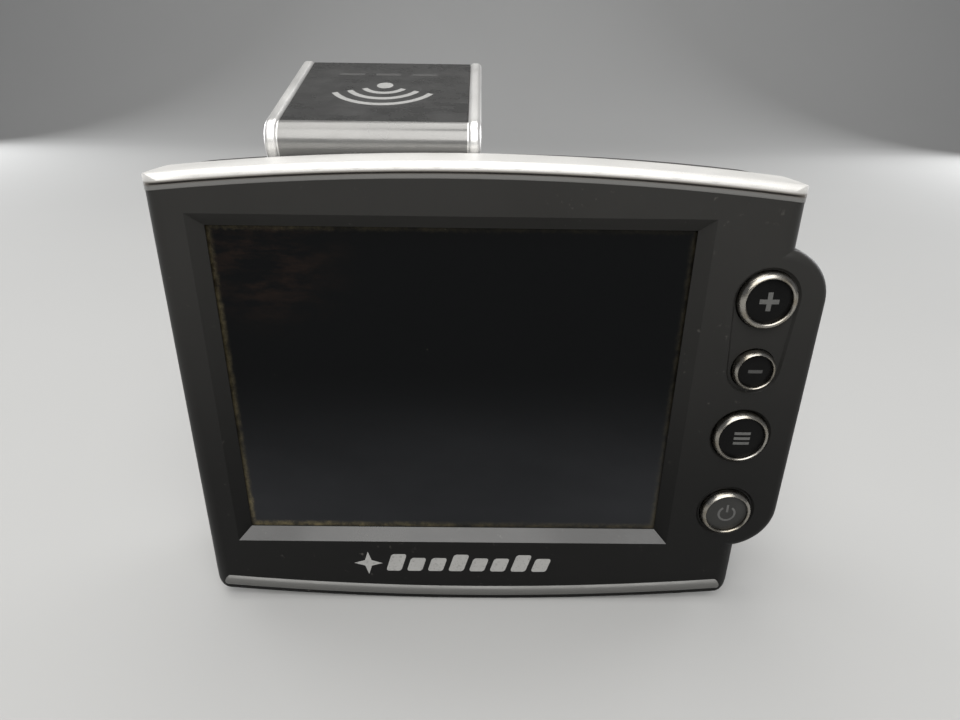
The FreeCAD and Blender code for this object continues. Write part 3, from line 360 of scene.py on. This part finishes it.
def woven(name):
    """Fine speaker cloth: two crossed sets of threads."""
    p = Paint(name, 0.85)
    across = p.math("SINE", p.math("MULTIPLY", p.axis(0), 9000.0))
    down = p.math("SINE", p.math("MULTIPLY", p.axis(2), 9000.0))
    weave = p.span(p.math("MULTIPLY", across, down), -1.0, 1.0)
    p.drive("Base Color", p.mix(weave, (0.004, 0.004, 0.004), (0.03, 0.03, 0.03)))
    p.bump(weave, 0.08 * MM, 0.8)
    return p.material


def ceramic():
    """Pale fired ceramic with darker flecks."""
    p = Paint("fired_ceramic", 0.55)
    fleck = p.span(p.noise(2400, 3), 0.55, 0.72)
    p.drive("Base Color", p.mix(fleck, (0.58, 0.50, 0.38), (0.40, 0.33, 0.24)))
    p.bump(p.noise(1800, 3), 0.02 * MM, 0.5)
    return p.material


def ribbon():
    """Amber polyimide ribbon with its row of copper tracks."""
    p = Paint("ribbon_film", 0.3, Coat_Weight=0.4)
    stripes = p.span(p.math("SINE", p.math("MULTIPLY", p.axis(0), 12000.0)), -0.2, 0.3)
    p.drive("Base Color", p.mix(stripes, (0.33, 0.13, 0.02), (0.52, 0.26, 0.05)))
    p.bump(stripes, 0.02 * MM, 0.5)
    return p.material


def printed(name, base, gaps=0.35):
    """Pad-printed ink, thin and broken where fingers have worn it."""
    p = Paint(name, 0.55)
    worn = p.span(p.noise(2300, 4, 0.7), 0.5, 0.68, 0.0, gaps)
    soft = p.mix(p.noise(500, 2, seed=3), base, tuple(c * 0.8 for c in base))
    p.drive("Base Color", p.mix(worn, soft, (0.03, 0.03, 0.03)))
    p.bump(p.noise(4000, 2), 0.01 * MM, 0.4)
    return p.material


def rails():
    """Bright silver lacquer on the rails; the wall between them gets a darker copy of it as painted shade,
    and is less metallic.
    """
    low, high = corners("antenna_frame")
    middle = (low.x + high.x) / 2
    half = (high.x - low.x) / 2 - RAIL
    p = Paint("rail_lacquer", 0.34, 0.6)
    wall = p.span(away(p, 0, middle), half - 0.05 * MM, half + 0.05 * MM, 1.0, 0.0)
    # painted shade: a darker copy of the rail lacquer on the wall between the rails
    p.drive("Base Color", p.mix(wall, lacquer_colour(p, (0.74, 0.735, 0.72), 0.2),
                                lacquer_colour(p, (0.20, 0.198, 0.192), 0.04)))
    p.drive("Metallic", p.span(wall, 0.0, 1.0, 0.7, 0.4))
    handling_and_painted_light = p.span(p.noise(150, 4, seed=14), 0.3, 0.7, 0.30, 0.42)
    p.drive("Roughness", p.math("ADD", handling_and_painted_light, p.math("MULTIPLY", wall, -0.12)))
    p.bump(p.noise(3500, 2), 0.008 * MM, 0.4)
    return p.material


# material slot: (function that makes the finish, its arguments)
FINISHES = {
    "black_shell": (bezel_shell, ()),
    "silver_trim": (top_lacquer, ()),
    "silver_rails": (rails, ()),
    "flap_black": (gloss, ("flap_gloss", (0.023, 0.023, 0.0225), 0.3, 0.45)),
    "chrome_ring": (chrome, ("ring_chrome",)),
    "key_black": (gloss, ("key_gloss", (0.0030, 0.0030, 0.0030), 0.3, 0.08)),
    "key_grey": (gloss, ("power_key_gloss", (0.018, 0.018, 0.017), 0.4, 0.25)),
    "foam": (resin, ("foam_rubber", (0.012, 0.012, 0.012), 0.9, 2200)),
    "screen_glass": (screen, ()),
    "display_glass": (gloss, ("display_stack", (0.010, 0.011, 0.013), 0.3)),
    "light_guide": (resin, ("light_guide_film", (0.72, 0.74, 0.76), 0.35, 1500)),
    "sheet_steel": (metal, ("tinned_sheet", (0.56, 0.56, 0.55), 0.34, (0.1, 1.0, 1.0))),
    "ribbon": (ribbon, ()),
    "circuit_board": (solder_mask, ()),
    "chip_resin": (resin, ("chip_epoxy", (0.012, 0.012, 0.013), 0.55)),
    "gold_plate": (metal, ("gold_flash", (0.83, 0.60, 0.25), 0.24)),
    "socket_plastic": (resin, ("socket_nylon", (0.012, 0.012, 0.012), 0.5)),
    "cell_foil": (metal, ("cell_pouch", (0.62, 0.63, 0.64), 0.4, (1.0, 1.0, 0.2))),
    "speaker_steel": (metal, ("speaker_can", (0.25, 0.25, 0.25), 0.4)),
    "mesh_cloth": (woven, ("speaker_cloth",)),
    "lead_sheath": (resin, ("lead_rubber", (0.014, 0.014, 0.014), 0.6)),
    "screw_steel": (metal, ("screw_zinc", (0.10, 0.10, 0.105), 0.38)),
    "ceramic_tile": (ceramic, ()),
    "silver_electrode": (metal, ("silver_ink", (0.72, 0.72, 0.70), 0.42)),
    "card_plastic": (resin, ("card_shell", (0.012, 0.014, 0.022), 0.45)),
    "pin_steel": (metal, ("ground_steel", (0.50, 0.50, 0.50), 0.22)),
}


def dress_nodes():
    """Every CAD node gets its slot's finish; the rear housing and the bottom trim have their own."""
    made = {slot: build(*args) for slot, (build, args) in FINISHES.items()}
    rear = shell("housing_plastic", 1900, 0.50, 0.45, 0.07 * MM).material
    bead = lacquer("bead_lacquer", (0.105, 0.104, 0.099), 0.38, 0.25, 0.25)
    for part in frame["record"]["subparts"]:
        node = frame["nodes"][part["node"]]
        material = {"rear_housing": rear, "bottom_trim": bead}.get(part["node"], made[part["material_slot"]])
        if not node.material_slots:
            node.data.materials.append(None)
        for slot in node.material_slots:
            slot.material = material


# ---------------------------------------------------------------- printed legends
def strip(points, width):
    """Outline of a band of one width along a line of points."""
    left, right = [], []
    for i, point in enumerate(points):
        before, after = points[max(i - 1, 0)], points[min(i + 1, len(points) - 1)]
        run = Vector((after[0] - before[0], after[1] - before[1])).normalized()
        side = Vector((-run.y, run.x)) * width / 2
        left.append((point[0] + side.x, point[1] + side.y))
        right.append((point[0] - side.x, point[1] - side.y))
    return left + right[::-1]


def arc_points(radius, start, end, count, centre=(0.0, 0.0)):
    """Points along an arc, with its ends in degrees."""
    angles = [math.radians(start + (end - start) * i / (count - 1)) for i in range(count)]
    return [(centre[0] + radius * math.cos(a), centre[1] + radius * math.sin(a)) for a in angles]


def bar(x0, x1, y0, y1):
    """Outline of a rectangle."""
    return [(x0, y0), (x1, y0), (x1, y1), (x0, y1)]


def legend(name, outlines, origin, right, up, target, body, paint):
    """Flat outlines, in mm, laid on a CAD surface as a thin raised print that rides on its body."""
    node = frame["nodes"][target]
    surface = BVHTree.FromPolygons([v.co for v in node.data.vertices],
                                   [p.vertices for p in node.data.polygons])
    inward = up.cross(right).normalized()
    bm = bmesh.new()
    for outline in outlines:
        flat = [Vector((x, y, 0)) for x, y in outline]
        verts = [bm.verts.new(v) for v in flat]
        for a, b, c in tessellate_polygon([flat]):
            bm.faces.new((verts[a], verts[b], verts[c]))
    for _ in range(SPLITS):
        long_edges = [e for e in bm.edges if e.calc_length() > FACET]
        if not long_edges:
            break
        bmesh.ops.subdivide_edges(bm, edges=long_edges, cuts=1)
        bmesh.ops.triangulate(bm, faces=bm.faces[:])
    for v in bm.verts:
        start = origin + right * v.co.x * MM + up * v.co.y * MM - inward * RAY_FROM * MM
        hit, _, _, _ = surface.ray_cast(start, inward)
        if hit is None:
            raise RuntimeError(name + " doesn't land on " + target)
        v.co = hit
    bmesh.ops.recalc_face_normals(bm, faces=bm.faces[:])
    base = bm.faces[:]
    if base[0].normal.dot(inward) < 0:
        bmesh.ops.reverse_faces(bm, faces=base)
    raised = bmesh.ops.extrude_face_region(bm, geom=base)
    top = [g for g in raised["geom"] if isinstance(g, bmesh.types.BMVert)]
    bmesh.ops.translate(bm, verts=top, vec=-inward * PRINT_THICK * MM)
    bmesh.ops.recalc_face_normals(bm, faces=bm.faces[:])
    mesh = bpy.data.meshes.new(name)
    bm.to_mesh(mesh)
    bm.free()
    mesh.materials.append(paint)
    piece = bpy.data.objects.new(name, mesh)
    bpy.context.collection.objects.link(piece)
    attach(piece, body)


def key_legends():
    """Plus, minus, three bars and the power sign, each on its key's cap."""
    light = printed("key_ink", (0.085, 0.085, 0.081))
    faint = printed("key_ink_faint", (0.042, 0.042, 0.040), 0.5)
    dim = printed("key_ink_dim", (0.085, 0.085, 0.082), 0.4)
    cross = [bar(-1.45, 1.45, -0.36, 0.36), bar(-0.36, 0.36, 0.36, 1.45), bar(-0.36, 0.36, -1.45, -0.36)]
    dash = [bar(-1.1, 1.1, -0.27, 0.27)]
    lines = [bar(-1.3, 1.3, y - 0.24, y + 0.24) for y in (-0.9, 0.0, 0.9)]
    power = [strip(arc_points(1.35, 125, 415, 30), 0.36), bar(-0.18, 0.18, 0.3, 1.75)]
    x_axis, z_axis = Vector((1, 0, 0)), Vector((0, 0, 1))
    for key, outlines, ink in (("plus", cross, light), ("minus", dash, faint), ("menu", lines, light),
                               ("power", power, dim)):
        x, z = KEY_AT[key]
        legend(key + "_legend", outlines, Vector((x, FACE_Y, z)), x_axis, z_axis,
               key + "_cap", key + "_key", ink)


def star(size, inner, points):
    """Outline of a star with one point upwards."""
    corners_2d = []
    for i in range(points * 2):
        radius = size if i % 2 == 0 else inner
        angle = math.pi * i / points + math.pi / 2
        corners_2d.append((radius * math.cos(angle), radius * math.sin(angle)))
    return corners_2d


def slanted(x0, x1, y0, y1, lean, radius, count):
    """A slanted bar with rounded corners of so many points each."""
    points = []
    for cx, cy, start in ((x1 - radius, y1 - radius, 0), (x0 + radius, y1 - radius, 90),
                          (x0 + radius, y0 + radius, 180), (x1 - radius, y0 + radius, 270)):
        points += arc_points(radius, start, start + 90, count, (cx, cy))
    return [(x + lean * y, y) for x, y in points]


def bezel_print():
    """A generic mark under the screen: a small compass star and a row of slanted bars."""
    ink = printed("bezel_ink", (0.33, 0.327, 0.315))
    shapes = [star(2.5, 0.85, 4)]
    x, width, step, foot = 3.6, 2.7, 3.7, -1.7
    lean, corner = 0.3, 0.5
    for i in range(8):
        top = 2.0 if i % 3 == 0 else 1.2
        shapes.append(slanted(x, x + width, foot, top, lean, corner, 5))
        x += step
    legend("bezel_mark", shapes, Vector((MARK_AT[0], FACE_Y, MARK_AT[1])),
           Vector((1, 0, 0)), Vector((0, 0, 1)), "front_bezel", "body", ink)


def flap_print():
    """Signal arcs over their dot, and three faint dashes, on the antenna cover."""
    ink = printed("flap_ink", (0.34, 0.34, 0.33), 0.2)
    faint = printed("flap_ink_faint", (0.050, 0.050, 0.049), 0.4)
    low, high = corners("antenna_cover")
    along = Vector((0, math.cos(FLAP_RISE), math.sin(FLAP_RISE)))
    lift = Vector((0, -math.sin(FLAP_RISE), math.cos(FLAP_RISE))) * COVER_TOP
    start = Vector(((low.x + high.x) / 2, HINGE.y, HINGE.z)) + lift
    arcs = [strip(arc_points(r, 205, 335, 30), 1.0) for r in (3.6, 6.2, 8.8)]
    dot = arc_points(1.4, 0, 342, 20)
    legend("signal_arcs", arcs + [dot], start + along * ARCS_OUT * MM, Vector((1, 0, 0)), along,
           "antenna_cover", "antenna", ink)
    dashes = [bar(x, x + 4.4, -0.6, 0.6) for x in (-8.6, -2.2, 4.2)]
    legend("signal_dashes", dashes, start + along * DASHES_OUT * MM, Vector((1, 0, 0)), along,
           "antenna_cover", "antenna", faint)


# ---------------------------------------------------------------- stage
def backdrop():
    """A pale floor that curves up into a back wall."""
    front, turn, radius, top, half = -4.0, 0.75, 0.5, 1.8, 5.0
    profile = [(front, 0.0)]
    profile += [(turn + radius * math.sin(a), radius - radius * math.cos(a))
                for a in (math.radians(d) for d in range(0, 91, 6))]
    profile += [(turn + radius, top)]
    mesh = bpy.data.meshes.new("floor")
    verts = [(x, y, z) for y, z in profile for x in (-half, half)]
    faces = [(2 * i, 2 * i + 1, 2 * i + 3, 2 * i + 2) for i in range(len(profile) - 1)]
    mesh.from_pydata(verts, [], faces)
    for polygon in mesh.polygons:
        polygon.use_smooth = True
    p = Paint("floor_paper", 0.9, Specular_IOR_Level=0.1)
    p.drive("Base Color", p.mix(p.noise(6, 3), (0.40, 0.40, 0.395), (0.42, 0.42, 0.415)))
    mesh.materials.append(p.material)
    floor = bpy.data.objects.new("floor", mesh)
    bpy.context.collection.objects.link(floor)


def area_light(name, place, target, size, watts, colour):
    data = bpy.data.lights.new(name, "AREA")
    data.shape = "RECTANGLE"
    data.size, data.size_y = size
    data.energy = watts
    data.color = colour
    lamp = bpy.data.objects.new(name, data)
    bpy.context.collection.objects.link(lamp)
    lamp.location = place
    lamp.rotation_euler = (Vector(target) - Vector(place)).to_track_quat("-Z", "Y").to_euler()


# name, place, the point it faces, width and height, watts, colour
LAMPS = (
    ("top_softbox", (-0.10, 0.10, 0.75), (0, 0, 0.05), (0.7, 0.45), 3.5, (1.0, 0.985, 0.96)),
    ("front_softbox", (0.0, -0.69, 0.69), (0, 0, 0.04), (1.0, 0.9), 12.5, (1.0, 0.99, 0.97)),
    ("rear_fill", (-0.75, 0.50, 0.22), (0, 0, 0.04), (0.5, 0.35), 4.0, (0.98, 0.99, 1.0)),
    ("rear_fill", (0.75, 0.50, 0.22), (0, 0, 0.04), (0.5, 0.35), 4.0, (0.98, 0.99, 1.0)),
)


def lights():
    """A soft light overhead, a large one in front, two at the sides of the back, and a dim sky."""
    for lamp in LAMPS:
        area_light(*lamp)
    world = bpy.data.worlds.new("studio")
    world.use_nodes = True
    world.node_tree.nodes["Background"].inputs["Color"].default_value = (0.9, 0.93, 1.0, 1.0)
    world.node_tree.nodes["Background"].inputs["Strength"].default_value = 0.2
    bpy.context.scene.world = world


def camera():
    """In front and above, looking down at the face."""
    data = bpy.data.cameras.new("camera")
    data.sensor_width = SENSOR
    data.lens = LENS
    data.clip_start = 0.01
    eye = bpy.data.objects.new("camera", data)
    bpy.context.collection.objects.link(eye)
    turn = (Euler((0, 0, math.radians(CAMERA_PAN))).to_matrix()
            @ Euler((math.radians(90 - CAMERA_DOWN), 0, 0)).to_matrix()
            @ Euler((0, 0, math.radians(CAMERA_ROLL))).to_matrix())
    eye.matrix_world = Matrix.Translation(CAMERA_AT) @ turn.to_4x4()
    bpy.context.scene.camera = eye


dress_nodes()
key_legends()
bezel_print()
flap_print()
backdrop()
lights()
camera()
bpy.context.scene.view_settings.view_transform = "Standard"
